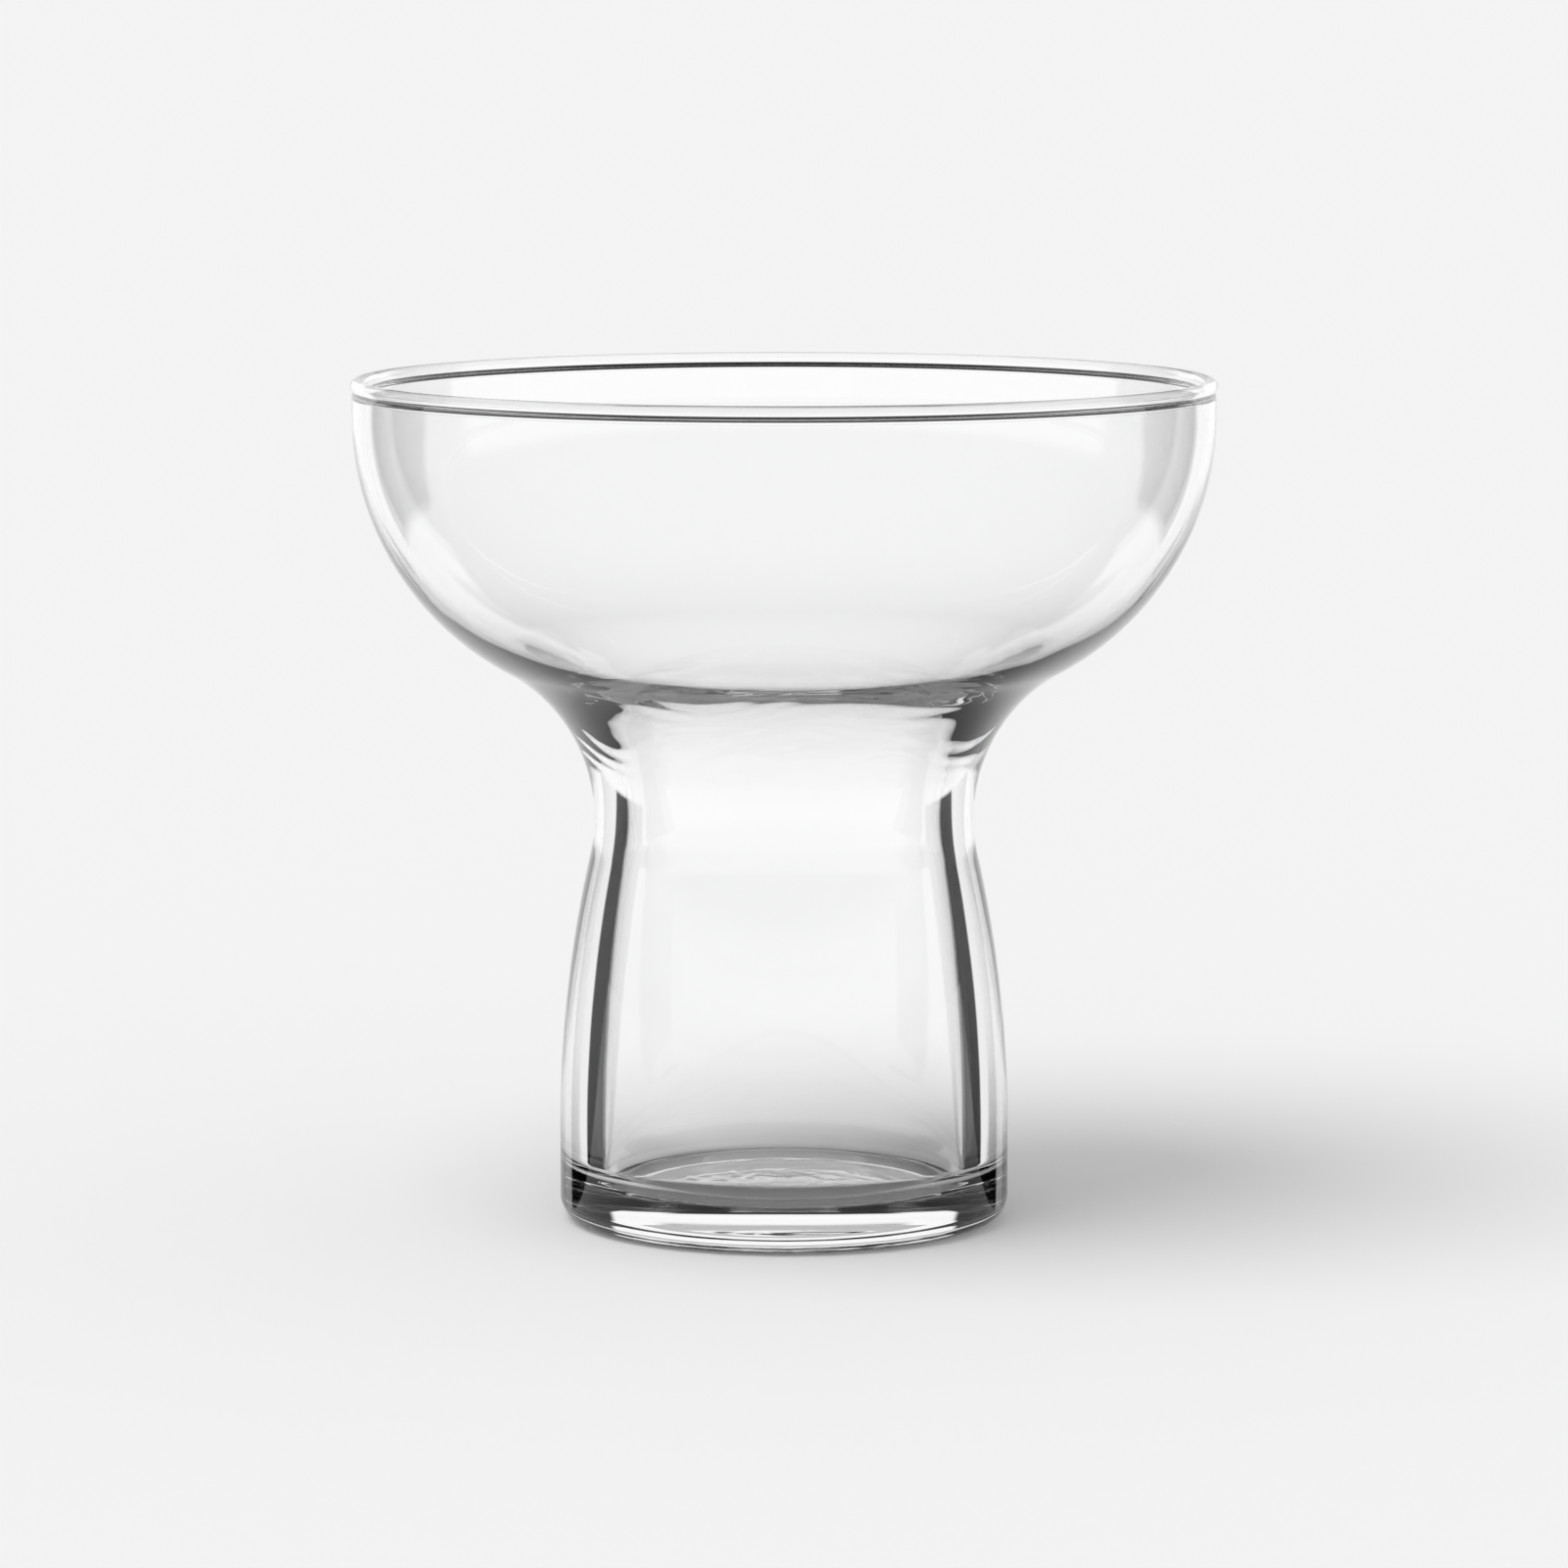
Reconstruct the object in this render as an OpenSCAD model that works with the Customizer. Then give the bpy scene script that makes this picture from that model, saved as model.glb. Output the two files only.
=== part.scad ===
/* [Overall] */
// Height of the waist, the narrowest place, above the table
waist_h = 53.5; // [44:0.1:64]
// Height from the waist to the top of the rim
bowl_h = 58.2; // [49:0.1:70]
// Outer diameter across the rounded rim
rim_d = 114; // [100:0.5:130]

/* [Rim] */
// Thickness of the fire-polished bead that rounds the rim
bead_d = 1.9; // [1.7:0.1:2.3]
// How far the bead stands out past the outside of the bowl
bead_overhang = 0.2; // [0.1:0.05:0.3]
// Height of the plain collar under the middle of the bead
collar_h = 1.6; // [1.2:0.1:3]

/* [Bowl] */
// Radius of the bowl's round side in section, as a share of the height from the waist to the lip
bowl_side_share = 0.714; // [0.64:0.002:0.8]
// Depth of the upright lip, from the top of the rim to the round side
bowl_lip_h = 5; // [3.6:0.2:7]
// Wall thickness of the bowl at its lip
bowl_wall = 1.1; // [1:0.1:1.4]
// Wall thickness of the bowl where it turns into the neck
shoulder_wall = 2; // [1.6:0.1:2.8]

/* [Neck] */
// Outer diameter at the waist
waist_d = 50.3; // [46:0.1:54]
// Wall thickness at the waist
waist_wall = 4.4; // [3.4:0.1:5.4]

/* [Barrel] */
// How far the foot, the widest place of the barrel, stands out past the waist all round
foot_spread = 4.65; // [3:0.05:7]
// Height above the table where the barrel stops widening
foot_h = 12.3; // [11:0.1:18]
// Radius of the hollow curve on the outside just below the waist
hollow_r = 23; // [16:1:40]
// Wall thickness of the barrel at the foot
foot_wall = 5.6; // [4.6:0.1:6.6]

/* [Base] */
// Thickness of the solid floor at its edge
floor_t = 5.3; // [4:0.1:6.5]
// Rise of the floor's top surface towards its centre
floor_crown = 0.4; // [0.1:0.1:0.8]
// Radius of the curve from the inside wall into the floor
floor_round = 3.5; // [2:0.1:4.4]
// Radius of the rounded heel at the table
heel_r = 3; // [2:0.1:4]
// Width of the flat ring that the glass stands on, round the shallow hollow underneath
standing_w = 3.8; // [2.4:0.1:6]
// Depth of the hollow under the base
kick_depth = 1.2; // [0.5:0.1:1.8]

/* [Smoothness] */
// Straight steps along each curve of the section
curve_steps = 20; // [12:1:32]

/* [Hidden] */
$fn = 160;

glass_tint = [0.80, 0.88, 0.88, 0.45];
thick_tint = [0.66, 0.78, 0.78, 0.55];
right_angle = 90;
half_turn = 2 * right_angle;

// Points along a circular arc in the section plane, x across and y up
function arc(centre, r, from, to) =
    [for (i = [0:curve_steps])
        let (a = from + (to - from) * i / curve_steps)
        [centre.x + r * cos(a), centre.y + r * sin(a)]];

// Radius of the circle whose cap has this edge radius and this rise
function cap_r(edge_r, rise) = (edge_r * edge_r + rise * rise) / (2 * rise);

// A shallow dome from its edge to the axis: edge height z, rising towards the centre
function dome(edge_r, z, rise) =
    let (r = cap_r(edge_r, rise), a = acos(edge_r / r))
    arc([0, z + rise - r], r, a, right_angle);

// Radius of a hollow arc that leaves this point upright and touches a round side from outside
function touch_r(start, centre, r) =
    let (d = start - centre)
    (d * d - r * r) / (2 * (r - d.x));

// Two tangent arcs in an S, upright at both ends: the angle both turn through, the radius
// of the lower one, and the points from top to bottom
function s_turn(top, bottom) = 2 * atan((bottom.x - top.x) / (top.y - bottom.y));
function s_low_r(top, bottom, upper_r) =
    (top.y - bottom.y) / sin(s_turn(top, bottom)) - upper_r;
function s_curve(top, bottom, upper_r) =
    let (turn = s_turn(top, bottom), low_r = s_low_r(top, bottom, upper_r))
    concat(
        arc([top.x + upper_r, top.y], upper_r, half_turn, half_turn + turn),
        arc([bottom.x - low_r, bottom.y], low_r, turn, 0));

// The same list from its last point to its first
function backwards(points) = [for (i = [len(points) - 1:-1:0]) points[i]];

// Outside of the glass: every curve meets the next one tangentially
rim_r = rim_d / 2;
bead_r = bead_d / 2;
bowl_out_r = rim_r - bead_overhang;
glass_h = waist_h + bowl_h;
bowl_side_r = bowl_side_share * (bowl_h - bowl_lip_h);
bowl_c = [bowl_out_r - bowl_side_r, glass_h - bowl_lip_h];
waist_out = [waist_d / 2, waist_h];
foot_out = [waist_out.x + foot_spread, foot_h];

// The neck's hollow curve starts upright at the waist and touches the bowl's round side
neck_r = touch_r(waist_out, bowl_c, bowl_side_r);
neck_c = waist_out + [neck_r, 0];
neck_turn = atan2(bowl_c.y - neck_c.y, neck_c.x - bowl_c.x);

// The bowl's wall takes most of its round side, and the neck the rest
shoulder_share = 0.85;
shoulder_turn = shoulder_share * neck_turn;
shoulder_z = bowl_c.y - bowl_side_r * sin(shoulder_turn);

// Inside of the bowl: a tighter curve than the outside, so the wall thickens downwards
bowl_tighter = (shoulder_wall - bowl_wall) / (1 - cos(neck_turn));
bowl_in_r = bowl_side_r - bowl_wall - bowl_tighter;
bowl_in_c = bowl_c + [bowl_tighter, 0];
shoulder_in_turn = asin((bowl_in_c.y - shoulder_z) / bowl_in_r);

// The bore flares into the bowl as the outside does: upright at the waist, touching the bowl's inside
waist_in = waist_out - [waist_wall, 0];
mouth_r = touch_r(waist_in, bowl_in_c, bowl_in_r);
mouth_c = waist_in + [mouth_r, 0];
mouth_turn = atan2(bowl_in_c.y - mouth_c.y, mouth_c.x - bowl_in_c.x);

// Inside of the barrel, the floor, and the hollow under the base
foot_in = foot_out - [foot_wall, 0];
kick_r = foot_out.x - heel_r - standing_w;
floor_round_c = foot_in + [-floor_round, floor_t + floor_round - foot_h];

// The bead is a ring whose outside lies at the rim's diameter
bead_c = [rim_r - bead_r, glass_h - bead_r];
collar_z = bead_c.y - collar_h;
collar_out = [bowl_out_r, collar_z];
collar_in = [bowl_out_r - bowl_wall, collar_z];
bead_from = -acos((collar_out.x - bead_c.x) / bead_r);
bead_to = half_turn + acos((bead_c.x - collar_in.x) / bead_r);

// Each piece is a turned ring of glass that seats flat on the one below it
module turned(outside, inside)
    rotate_extrude() polygon(concat(outside, backwards(inside)));

module rim()
    color(glass_tint)
        turned([collar_out], concat([collar_in], backwards(arc(bead_c, bead_r, bead_from, bead_to))));

module bowl()
    color(glass_tint)
        turned(
            concat(arc(bowl_c, bowl_side_r, -shoulder_turn, 0), [collar_out]),
            concat(arc(bowl_in_c, bowl_in_r, -shoulder_in_turn, 0), [collar_in]));

module neck()
    color(thick_tint)
        turned(
            concat(
                arc(neck_c, neck_r, half_turn, half_turn - neck_turn),
                arc(bowl_c, bowl_side_r, -neck_turn, -shoulder_turn)),
            concat(
                arc(mouth_c, mouth_r, half_turn, half_turn - mouth_turn),
                arc(bowl_in_c, bowl_in_r, -mouth_turn, -shoulder_in_turn)));

module barrel()
    color(glass_tint)
        turned(
            backwards(s_curve(waist_out, foot_out, hollow_r)),
            backwards(s_curve(waist_in, foot_in, hollow_r)));

module base()
    color(thick_tint)
        turned(
            concat(
                backwards(dome(kick_r, 0, kick_depth)),
                arc([foot_out.x - heel_r, heel_r], heel_r, -right_angle, 0),
                [foot_out]),
            concat(
                backwards(dome(floor_round_c.x, floor_t, floor_crown)),
                arc(floor_round_c, floor_round, -right_angle, 0),
                [foot_in]));

rim();
bowl();
neck();
barrel();
base();
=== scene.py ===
import math

import bpy
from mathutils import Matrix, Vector, noise


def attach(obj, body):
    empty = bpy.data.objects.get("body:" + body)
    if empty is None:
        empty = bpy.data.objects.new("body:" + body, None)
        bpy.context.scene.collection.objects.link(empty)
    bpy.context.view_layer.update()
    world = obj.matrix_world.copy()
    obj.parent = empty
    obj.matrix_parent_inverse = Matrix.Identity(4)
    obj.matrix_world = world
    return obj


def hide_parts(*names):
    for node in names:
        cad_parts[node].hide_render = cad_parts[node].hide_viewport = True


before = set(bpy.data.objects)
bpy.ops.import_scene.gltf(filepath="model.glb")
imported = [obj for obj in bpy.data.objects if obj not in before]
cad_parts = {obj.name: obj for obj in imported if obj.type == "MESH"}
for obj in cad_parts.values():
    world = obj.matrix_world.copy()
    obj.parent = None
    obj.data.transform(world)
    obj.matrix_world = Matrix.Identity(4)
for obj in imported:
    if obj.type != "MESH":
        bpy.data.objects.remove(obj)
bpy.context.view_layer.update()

MM = 0.001

# Sizes of the section, in mm, the same as in the part's source
WAIST_H = 53.5
BOWL_H = 58.2
RIM_D = 114.0
BEAD_D = 1.9
BEAD_OVERHANG = 0.2
COLLAR_H = 1.6
BOWL_SIDE_SHARE = 0.714
BOWL_LIP_H = 5.0
BOWL_WALL = 1.1
SHOULDER_WALL = 2.0
WAIST_D = 50.3
WAIST_WALL = 4.4
FOOT_SPREAD = 4.65
FOOT_H = 12.3
HOLLOW_R = 23.0
FOOT_WALL = 5.6
FLOOR_T = 5.3
FLOOR_CROWN = 0.4
FLOOR_ROUND = 3.5
HEEL_R = 3.0
STANDING_W = 3.8
KICK_DEPTH = 1.2

GLASS_H = WAIST_H + BOWL_H
BOWL_SIDE_R = BOWL_SIDE_SHARE * (BOWL_H - BOWL_LIP_H)

# Spacing of the points along the arcs, in mm: usual, on tight curves, on the bead, and under the base
STEP = 0.5
TIGHT_STEP = 0.2
BEAD_STEP = 0.1
WIDE_STEP = 1.0
# Points closer than this are one point
SAME_POINT = 0.02
# The fewest straight steps along an arc
FEWEST_STEPS = 4


def arc(centre, r, start, end, step=STEP):
    """Points along an arc in the section plane, angles in degrees."""
    turn = math.radians(end - start)
    count = max(FEWEST_STEPS, math.ceil(abs(turn) * r / step))
    points = []
    for i in range(count + 1):
        a = math.radians(start) + turn * i / count
        points.append((centre[0] + r * math.cos(a), centre[1] + r * math.sin(a)))
    return points


def dome(edge_r, z, rise, step=STEP):
    """A shallow dome from its edge to the axis."""
    r = (edge_r**2 + rise**2) / (2 * rise)
    start = math.degrees(math.acos(edge_r / r))
    return arc((0, z + rise - r), r, start, 90, step)


def touch_r(start, centre, r):
    """Radius of a hollow arc that leaves this point upright and touches a round side from outside."""
    dx, dy = start[0] - centre[0], start[1] - centre[1]
    return (dx * dx + dy * dy - r * r) / (2 * (r - dx))


def s_curve(top, bottom, upper_r):
    """Two tangent arcs in an S, upright at both ends, from top to bottom."""
    turn = 2 * math.degrees(math.atan2(bottom[0] - top[0], top[1] - bottom[1]))
    low_r = (top[1] - bottom[1]) / math.sin(math.radians(turn)) - upper_r
    upper = arc((top[0] + upper_r, top[1]), upper_r, 180, 180 + turn)
    lower = arc((bottom[0] - low_r, bottom[1]), low_r, turn, 0)
    return upper + lower


def section():
    """The closed section, from the middle of the underside round the outside to the middle of the floor.

    Returns its points, and which of them is the first on the inside.
    """
    rim_r = RIM_D / 2
    bead_r = BEAD_D / 2
    bowl_out_r = rim_r - BEAD_OVERHANG
    bowl_c = (bowl_out_r - BOWL_SIDE_R, GLASS_H - BOWL_LIP_H)
    waist_out = (WAIST_D / 2, WAIST_H)
    foot_out = (waist_out[0] + FOOT_SPREAD, FOOT_H)
    neck_r = touch_r(waist_out, bowl_c, BOWL_SIDE_R)
    neck_c = (waist_out[0] + neck_r, waist_out[1])
    neck_turn = math.degrees(math.atan2(bowl_c[1] - neck_c[1], neck_c[0] - bowl_c[0]))
    tighter = (SHOULDER_WALL - BOWL_WALL) / (1 - math.cos(math.radians(neck_turn)))
    bowl_in_r = BOWL_SIDE_R - BOWL_WALL - tighter
    bowl_in_c = (bowl_c[0] + tighter, bowl_c[1])
    waist_in = (waist_out[0] - WAIST_WALL, WAIST_H)
    mouth_r = touch_r(waist_in, bowl_in_c, bowl_in_r)
    reach = bowl_in_r + mouth_r
    mouth_turn = math.degrees(math.acos((waist_in[0] + mouth_r - bowl_in_c[0]) / reach))
    mouth_c = (waist_in[0] + mouth_r, bowl_in_c[1] - reach * math.sin(math.radians(mouth_turn)))
    foot_in = (foot_out[0] - FOOT_WALL, FOOT_H)
    round_c = (foot_in[0] - FLOOR_ROUND, FLOOR_T + FLOOR_ROUND)
    bead_c = (rim_r - bead_r, GLASS_H - bead_r)
    collar_z = bead_c[1] - COLLAR_H
    collar_in_x = bowl_out_r - BOWL_WALL
    bead_from = -math.degrees(math.acos((bowl_out_r - bead_c[0]) / bead_r))
    bead_to = 180 + math.degrees(math.acos((bead_c[0] - collar_in_x) / bead_r))

    kick_r = foot_out[0] - HEEL_R - STANDING_W

    outside = dome(kick_r, 0, KICK_DEPTH, WIDE_STEP)[::-1]
    outside += arc((foot_out[0] - HEEL_R, HEEL_R), HEEL_R, -90, 0, TIGHT_STEP)
    outside += s_curve(waist_out, foot_out, HOLLOW_R)[::-1]
    outside += arc(neck_c, neck_r, 180, 180 - neck_turn)
    outside += arc(bowl_c, BOWL_SIDE_R, -neck_turn, 0)
    outside += [(bowl_out_r, (bowl_c[1] + collar_z) / 2), (bowl_out_r, collar_z)]
    bead = arc(bead_c, bead_r, bead_from, bead_to, BEAD_STEP)
    inside = [(collar_in_x, collar_z)]
    inside += arc(bowl_in_c, bowl_in_r, 0, -mouth_turn)
    inside += arc(mouth_c, mouth_r, 180 - mouth_turn, 180)
    inside += s_curve(waist_in, foot_in, HOLLOW_R)
    inside += arc(round_c, FLOOR_ROUND, 0, -90, TIGHT_STEP)
    inside += dome(round_c[0], FLOOR_T, FLOOR_CROWN)
    points = []
    for p in outside + bead + inside:
        if not points or math.dist(p, points[-1]) > SAME_POINT:
            points.append(p)
    return points, points.index(inside[0])


# Rings that blowing leaves round the inside of the neck, in mm
RIPPLE_LOW, RIPPLE_HIGH = 59.0, 76.0
RIPPLE_FADE_LOW, RIPPLE_FADE_HIGH = 8, 4
RIPPLE_DEPTH = 0.045
RIPPLE_PITCH = 3.0
# How fast the rings wander round the neck and up it, how far, and how they sway with the angle
WANDER_ROUND, WANDER_UP = 1.7, 9
WANDER = 2.4
SWAY, SWAY_START = 0.9, 0.6
# The rings' depth varies from this share to the whole
SHALLOWEST = 0.45
DEPTH_FINER = 1.9
DEPTH_OFFSET = (5, 0, 2)

# A swirl that pressing leaves on the floor, in mm
SWIRL_R = 19.0
SWIRL_FADE = 5
SWIRL_DEPTH = 0.03
SWIRL_HIGH = FLOOR_T + 1
SWIRL_TWIST = 5.5
SWIRL_LONG, SWIRL_SHORT = 0.22, 0.5
SWIRL_PLANE = 4.2
SWIRL_FINER = 2.3


def ease(value, low, high):
    t = min(1, max(0, (value - low) / (high - low)))
    return t * t * (3 - 2 * t)


def ripple(x, z, a):
    """How far an inside point moves, outwards and up, in mm."""
    rising = ease(z, RIPPLE_LOW, RIPPLE_LOW + RIPPLE_FADE_LOW)
    near = rising * (1 - ease(z, RIPPLE_HIGH - RIPPLE_FADE_HIGH, RIPPLE_HIGH))
    out = 0
    if near > 0:
        where = Vector((math.cos(a) * WANDER_ROUND, math.sin(a) * WANDER_ROUND, z / WANDER_UP))
        phase = WANDER * noise.noise(where) + SWAY * math.sin(2 * a + SWAY_START)
        varied = abs(noise.noise(where * DEPTH_FINER + Vector(DEPTH_OFFSET)) * 2)
        depth = SHALLOWEST + (1 - SHALLOWEST) * varied
        out = RIPPLE_DEPTH * near * depth * math.sin(2 * math.pi * (z / RIPPLE_PITCH + phase))
    up = 0
    if z < SWIRL_HIGH and x < SWIRL_R:
        turn = a + x / SWIRL_TWIST
        where = Vector((x * math.cos(turn) * SWIRL_LONG, x * math.sin(turn) * SWIRL_SHORT, SWIRL_PLANE))
        fade = 1 - ease(x, SWIRL_R - SWIRL_FADE, SWIRL_R)
        up = SWIRL_DEPTH * fade * (noise.noise(where) + 0.5 * noise.noise(where * SWIRL_FINER))
    return out, up


# The solids' round faces are flat-sided by a hair, so the smooth body is this much slimmer to stay inside them
SHRINK = 0.9996
# Points round each ring of the glass, and round the floor
GLASS_SIDES = 360
FLOOR_SIDES = 96


def add_object(name, verts, faces):
    mesh = bpy.data.meshes.new(name)
    mesh.from_pydata(verts, [], faces)
    obj = bpy.data.objects.new(name, mesh)
    bpy.context.scene.collection.objects.link(obj)
    return obj


def lathe(name, points, inside_from, count):
    """A closed turned body whose first and last points lie on the axis, rippled from one point of the list on."""
    verts = []
    faces = []
    rings = points[1:-1]
    for i, (x, z) in enumerate(rings, 1):
        for k in range(count):
            a = 2 * math.pi * k / count
            out, up = ripple(x, z, a) if i > inside_from else (0, 0)
            r = (x * SHRINK + out) * MM
            verts.append((r * math.cos(a), r * math.sin(a), (z + up) * MM))
    bottom = len(verts)
    verts.append((0, 0, points[0][1] * MM))
    top = len(verts)
    verts.append((0, 0, points[-1][1] * MM))
    for i in range(len(rings) - 1):
        for k in range(count):
            n = (k + 1) % count
            faces.append((i * count + k, i * count + n, (i + 1) * count + n, (i + 1) * count + k))
    last = (len(rings) - 1) * count
    for k in range(count):
        n = (k + 1) % count
        faces.append((bottom, n, k))
        faces.append((top, last + k, last + n))
    obj = add_object(name, verts, faces)
    obj.data.update()
    obj.data.shade_smooth()
    return obj


class Nodes:
    """Adds nodes to one node tree, which starts empty."""

    def __init__(self, tree):
        self.tree = tree
        tree.nodes.clear()

    def feed(self, socket, value):
        """Links an output to the socket, or sets a number or colour on it."""
        if isinstance(value, bpy.types.NodeSocket):
            self.tree.links.new(value, socket)
        else:
            socket.default_value = value

    def add(self, kind, inputs=()):
        node = self.tree.nodes.new(kind)
        for name, value in dict(inputs).items():
            self.feed(node.inputs[name], value)
        return node

    def math(self, operation, first, second=0.0):
        node = self.add("ShaderNodeMath")
        node.operation = operation
        self.feed(node.inputs[0], first)
        self.feed(node.inputs[1], second)
        return node.outputs[0]

    def step(self, value, low, high, start=0.0, end=1.0):
        """A smooth step from start to end as the value goes from low to high."""
        node = self.add("ShaderNodeMapRange")
        node.interpolation_type = "SMOOTHSTEP"
        for name, number in (("From Min", low), ("From Max", high), ("To Min", start), ("To Max", end)):
            node.inputs[name].default_value = number
        self.feed(node.inputs["Value"], value)
        return node.outputs["Result"]

    def mix(self, factor, first, second):
        node = self.add("ShaderNodeMix")
        node.data_type = "FLOAT"
        for name, value in (("Factor", factor), ("A", first), ("B", second)):
            self.feed(node.inputs[name], value)
        return node.outputs["Result"]

    def mix_shaders(self, factor, first, second):
        node = self.add("ShaderNodeMixShader", {"Fac": factor})
        self.feed(node.inputs[1], first)
        self.feed(node.inputs[2], second)
        return node.outputs[0]

    def seen_in_glass(self):
        """1 for what the glass bends or mirrors into view, 0 for the rest and for light on its way to the floor."""
        path = self.add("ShaderNodeLightPath").outputs
        bent = self.math("MAXIMUM", path["Is Glossy Ray"], path["Is Transmission Ray"])
        return self.math("MULTIPLY", bent, self.math("LESS_THAN", path["Diffuse Depth"], 0.5))


def material(name):
    mat = bpy.data.materials.new(name)
    mat.use_nodes = True
    return mat, Nodes(mat.node_tree)


# The glass: clear, with a faint uneven tint and a faint unevenness of its fire-polished skin
GLASS_IOR = 1.52
TINT = (0.992, 0.997, 0.995, 1)
TINT_SCALE, TINT_DETAIL = 35, 2
SKIN_SCALE, SKIN_DETAIL = 90, 1
SKIN_STRENGTH, SKIN_DEPTH = 0.25, 0.04 * MM


def glass_material():
    mat, nodes = material("clear_glass")
    where = nodes.add("ShaderNodeTexCoord").outputs["Object"]
    cloud = nodes.add("ShaderNodeTexNoise", {"Scale": TINT_SCALE, "Detail": TINT_DETAIL, "Vector": where})
    tint = nodes.add("ShaderNodeValToRGB", {"Fac": cloud.outputs["Fac"]})
    tint.color_ramp.elements[0].color = TINT
    tint.color_ramp.elements[1].color = (1, 1, 1, 1)
    skin = nodes.add("ShaderNodeTexNoise", {"Scale": SKIN_SCALE, "Detail": SKIN_DETAIL, "Vector": where})
    bump = nodes.add("ShaderNodeBump", {
        "Strength": SKIN_STRENGTH, "Distance": SKIN_DEPTH, "Height": skin.outputs["Fac"]})
    bsdf = nodes.add("ShaderNodeBsdfPrincipled", {
        "Base Color": tint.outputs["Color"], "Normal": bump.outputs["Normal"],
        "Transmission Weight": 1, "IOR": GLASS_IOR, "Roughness": 0})
    nodes.add("ShaderNodeOutputMaterial", {"Surface": bsdf.outputs["BSDF"]})
    return mat


glass = lathe("glass", *section(), GLASS_SIDES)
glass.data.materials.append(glass_material())
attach(glass, "root")
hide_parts("rim", "bowl", "neck", "barrel", "base")

# The surroundings, in metres. The floor is pale paper, just below the glass so that air stays under its base
FLOOR_R = 60
FLOOR_Z = -0.0001
# The tone of the paper, and of the backdrop as the camera sees it
PAPER = 0.9

# What the glass bends or mirrors meets a whiter paper, with painted shade near the glass, darkest at its sides
FAR_PAPER = 0.98
SHADED_PAPER_SIDE, SHADED_PAPER_BEHIND = 0.7, 0.85
SHADE_SIDE, SHADE_BEHIND = 0.75, 0.97
SHADE_FROM, SHADE_TO = 0.07, 0.15

# At low angles it also meets a clear gloss that mirrors the sky, in a sector on each side of a bare strip straight
# behind. An edge is a line across the floor, (how far aside it starts, how far aside it goes per metre ahead)
STRIP_EDGE = [(0.034, 0.48), (0.09, 0.29), (0.2, 0.13)]
STRIP_SOFT = 0.004
SECTOR_EDGE = (0.04, 3.0)
SECTOR_SOFT = 0.06
# A bare wedge inside each sector
WEDGE_SLOPE = 0.335
WEDGE_ASIDE = (0.105, 0.13)
WEDGE_REACH = (0.27, 0.4)
WEDGE_SLANT = (0.68, 0.76)
# How far the ray leans away from upright, as Layer Weight measures it, where the gloss starts and is full
GLOSS_FROM, GLOSS_FULL = 0.642, 0.68


def paper_tone_with_painted_shade(nodes, ahead, reach, bent):
    # Painted shade: seen in the glass, the paper near the glass is darker, most of all at the glass's sides
    near = nodes.step(nodes.math("DIVIDE", ahead, reach), SHADE_SIDE, SHADE_BEHIND, SHADED_PAPER_SIDE, SHADED_PAPER_BEHIND)
    seen = nodes.mix(nodes.step(reach, SHADE_FROM, SHADE_TO), near, FAR_PAPER)
    return nodes.mix(bent, PAPER, seen)


def glossy_sector(nodes, aside, ahead, reach):
    def line(start, slope):
        return nodes.math("ADD", nodes.math("MULTIPLY", ahead, slope), start)

    near, middle, distant = [line(*edge) for edge in STRIP_EDGE]
    strip = nodes.math("MINIMUM", near, nodes.math("MINIMUM", middle, distant))
    past_strip = nodes.step(nodes.math("SUBTRACT", aside, strip), -STRIP_SOFT, STRIP_SOFT)
    within = nodes.math("DIVIDE", nodes.math("SUBTRACT", line(*SECTOR_EDGE), aside), reach)
    sector = nodes.math("MULTIPLY", past_strip, nodes.step(within, -SECTOR_SOFT, SECTOR_SOFT))
    slant = nodes.math("DIVIDE", aside, ahead)
    past_wedge = nodes.math("SUBTRACT", aside, nodes.math("MULTIPLY", ahead, WEDGE_SLOPE))
    wedge = nodes.math("MULTIPLY", nodes.step(past_wedge, *WEDGE_ASIDE), nodes.step(reach, *WEDGE_REACH))
    wedge = nodes.math("MULTIPLY", wedge, nodes.step(slant, *WEDGE_SLANT, 1, 0))
    return nodes.math("MULTIPLY", sector, nodes.math("SUBTRACT", 1, wedge))


def floor_material():
    mat, nodes = material("floor_paper")
    where = nodes.add("ShaderNodeTexCoord").outputs["Object"]
    split = nodes.add("ShaderNodeSeparateXYZ", {"Vector": where}).outputs
    aside = nodes.math("ABSOLUTE", split["X"])
    ahead = split["Y"]
    length = nodes.add("ShaderNodeVectorMath")
    length.operation = "LENGTH"
    nodes.feed(length.inputs[0], where)
    reach = length.outputs["Value"]
    bent = nodes.seen_in_glass()
    paper = nodes.add("ShaderNodeBsdfDiffuse", {"Color": paper_tone_with_painted_shade(nodes, ahead, reach, bent)})
    gloss = nodes.add("ShaderNodeBsdfGlossy", {"Color": (1, 1, 1, 1), "Roughness": 0})
    lean = nodes.add("ShaderNodeLayerWeight", {"Blend": 0.5}).outputs["Facing"]
    low = nodes.step(lean, GLOSS_FROM, GLOSS_FULL)
    coat = nodes.math("MULTIPLY", nodes.math("MULTIPLY", glossy_sector(nodes, aside, ahead, reach), low), bent)
    surface = nodes.mix_shaders(coat, paper.outputs["BSDF"], gloss.outputs["BSDF"])
    nodes.add("ShaderNodeOutputMaterial", {"Surface": surface})
    return mat


angles = [2 * math.pi * k / FLOOR_SIDES for k in range(FLOOR_SIDES)]
floor = add_object(
    "floor",
    [(0, 0, FLOOR_Z)] + [(FLOOR_R * math.cos(a), FLOOR_R * math.sin(a), FLOOR_Z) for a in angles],
    [(0, 1 + k, 1 + (k + 1) % FLOOR_SIDES) for k in range(FLOOR_SIDES)])
floor.data.materials.append(floor_material())

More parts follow.
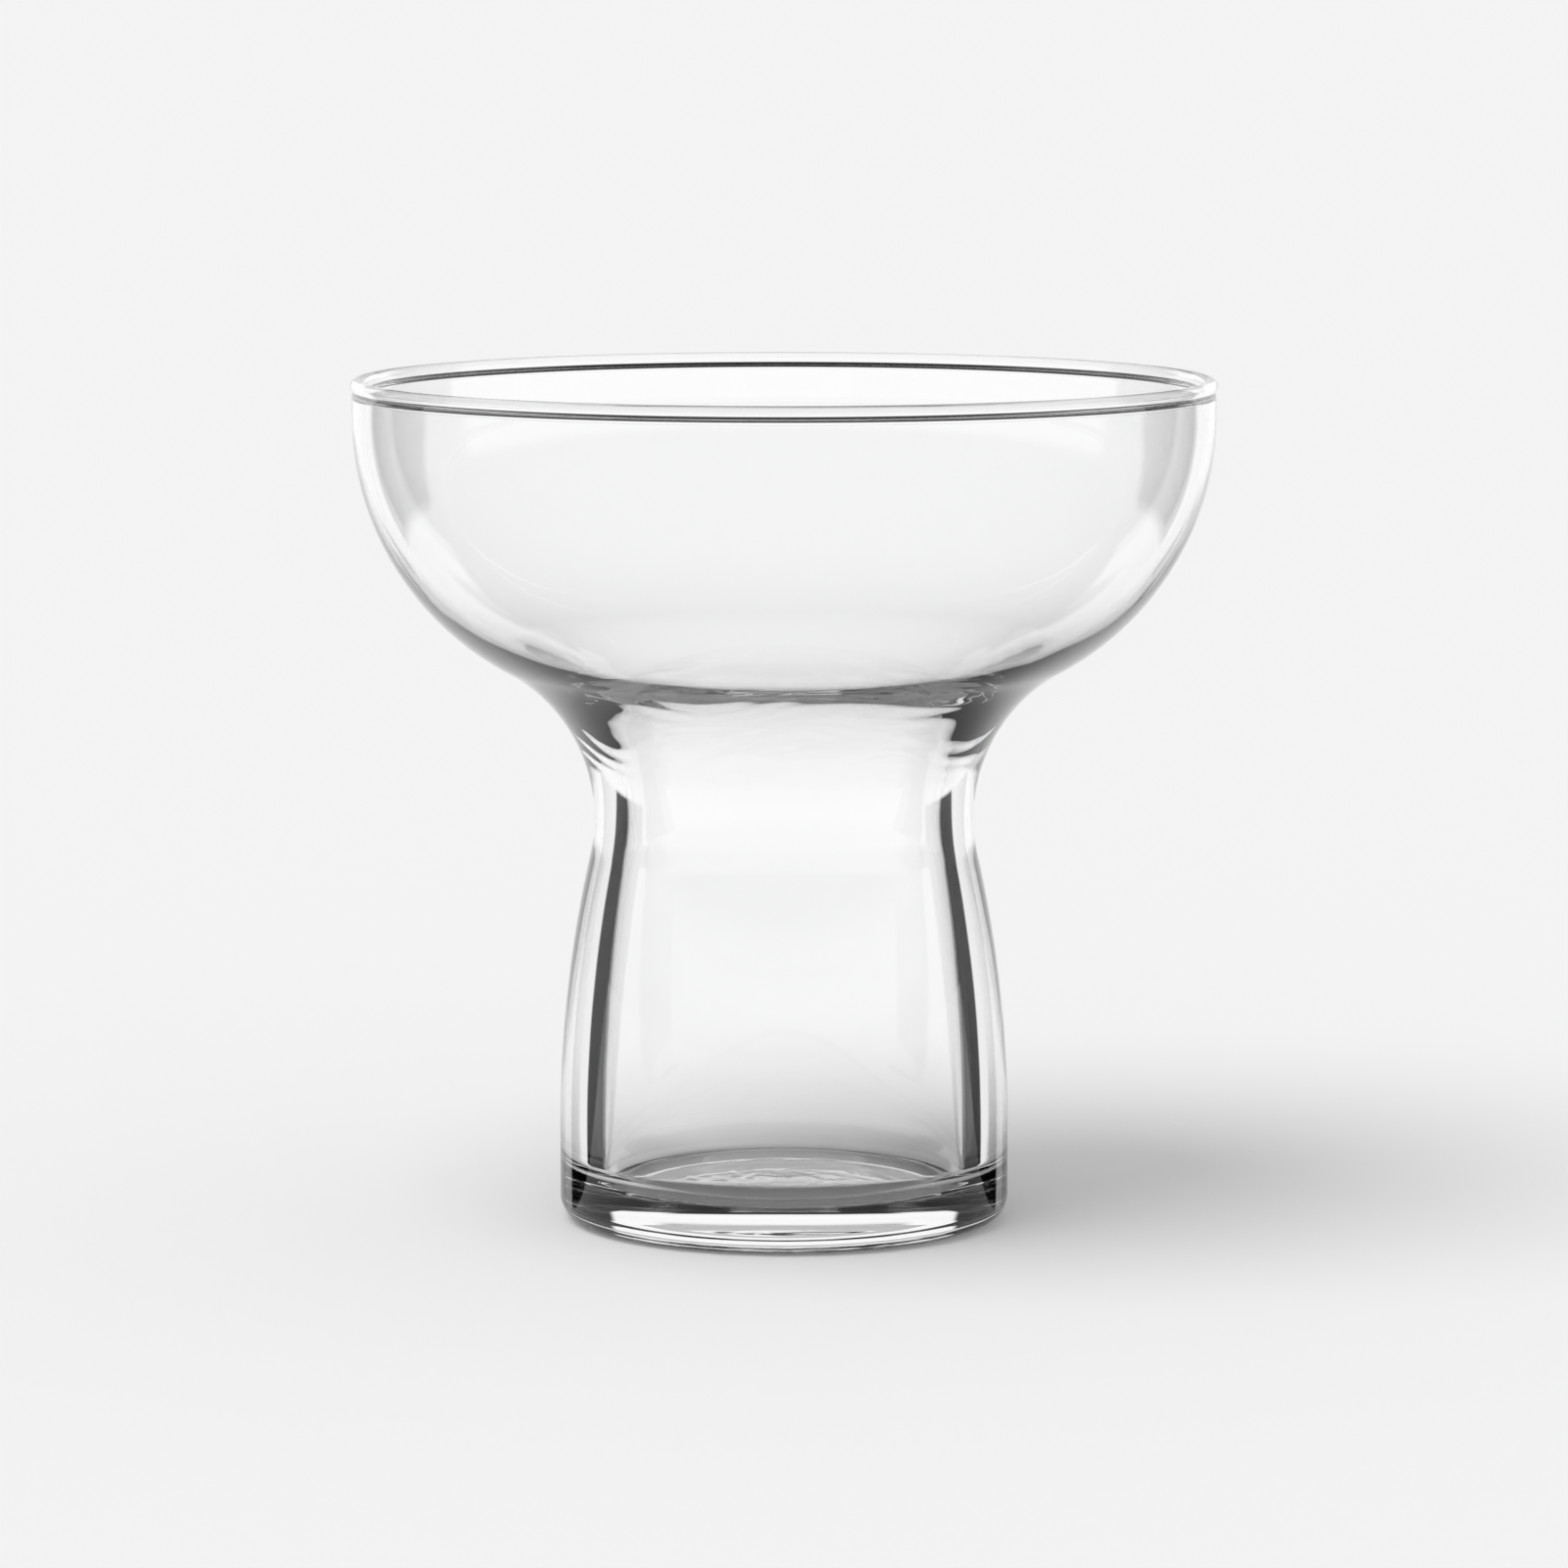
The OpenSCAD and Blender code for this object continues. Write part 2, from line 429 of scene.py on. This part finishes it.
# The floor gets this share of its light from the whole sky, and the rest from a soft lamp at the front left
SKY_SHARE = 0.62
LAMP_HEIGHT = math.radians(62)
LAMP_SIDE = math.radians(50)
LAMP_SIZE = math.radians(45)
lamp_data = bpy.data.lights.new("soft_lamp", "SUN")
lamp_data.energy = (1 - SKY_SHARE) * math.pi / math.sin(LAMP_HEIGHT)
lamp_data.angle = LAMP_SIZE
lamp = bpy.data.objects.new("soft_lamp", lamp_data)
lamp.rotation_euler = (math.pi / 2 - LAMP_HEIGHT, 0, -LAMP_SIDE)
lamp.visible_glossy = False
lamp.visible_transmission = False
bpy.context.scene.collection.objects.link(lamp)

# What the glass bends or mirrors meets a bright panel behind and a low pale band in front, with dark all round.
# Sides are cosines of the angle off straight behind, and heights are sines of the angle above the floor
PANEL_SIDES = (0.77, 0.8)
PANEL_TOP = (0.35, 0.4)
# The panel's middle ends lower
MIDDLE_SIDES = (0.9, 0.94)
MIDDLE_TOP = (0.22, 0.3)
FRONT_SIDES = (0.15, 0.27)
FRONT_TOP = (0.17, 0.26)
FRONT_TONE = 0.75
DARK_TONE = 0.01


def sky_world():
    world = bpy.data.worlds.new("sky")
    world.use_nodes = True
    nodes = Nodes(world.node_tree)
    in_view = nodes.add("ShaderNodeLightPath").outputs["Is Camera Ray"]
    plain = nodes.add("ShaderNodeBackground", {"Color": nodes.step(in_view, 0, 1, SKY_SHARE, PAPER)})
    where = nodes.add("ShaderNodeTexCoord").outputs["Generated"]
    split = nodes.add("ShaderNodeSeparateXYZ", {"Vector": where}).outputs
    up = split["Z"]
    level = nodes.math("SQRT", nodes.math("SUBTRACT", 1, nodes.math("MULTIPLY", up, up)))
    behind = nodes.math("DIVIDE", split["Y"], level)
    panel = nodes.math("MULTIPLY", nodes.step(behind, *PANEL_SIDES), nodes.step(up, *PANEL_TOP, 1, 0))
    over_middle = nodes.math("MULTIPLY", nodes.step(behind, *MIDDLE_SIDES), nodes.step(up, *MIDDLE_TOP))
    panel = nodes.math("MULTIPLY", panel, nodes.math("SUBTRACT", 1, over_middle))
    front = nodes.math(
        "MULTIPLY", nodes.step(behind, *FRONT_SIDES, 1, 0), nodes.step(up, *FRONT_TOP, FRONT_TONE, 0))
    tone = nodes.math("MAXIMUM", nodes.math("MAXIMUM", panel, front), DARK_TONE)
    seen = nodes.add("ShaderNodeBackground", {"Color": tone})
    surface = nodes.mix_shaders(nodes.seen_in_glass(), plain.outputs["Background"], seen.outputs["Background"])
    nodes.add("ShaderNodeOutputWorld", {"Surface": surface})
    return world


bpy.context.scene.world = sky_world()

# The camera stands where the photograph's did
CAMERA_PLACE = (0, -0.8695, 0.1665)
CAMERA_PITCH = math.radians(7.123)
cam_data = bpy.data.cameras.new("camera")
cam_data.sensor_width = 36
cam_data.lens = 151.94
cam_data.clip_start = 0.01
cam_data.clip_end = 200
cam = bpy.data.objects.new("camera", cam_data)
cam.location = CAMERA_PLACE
cam.rotation_euler = (math.pi / 2 - CAMERA_PITCH, 0, 0)
bpy.context.scene.collection.objects.link(cam)
bpy.context.scene.camera = cam

# Light passes many faces of the glass before it gets out
GLASS_BOUNCES = 24
GLOSSY_BOUNCES = 12
bpy.context.scene.view_settings.view_transform = "Standard"
bpy.context.scene.cycles.max_bounces = GLASS_BOUNCES
bpy.context.scene.cycles.transmission_bounces = GLASS_BOUNCES
bpy.context.scene.cycles.glossy_bounces = GLOSSY_BOUNCES
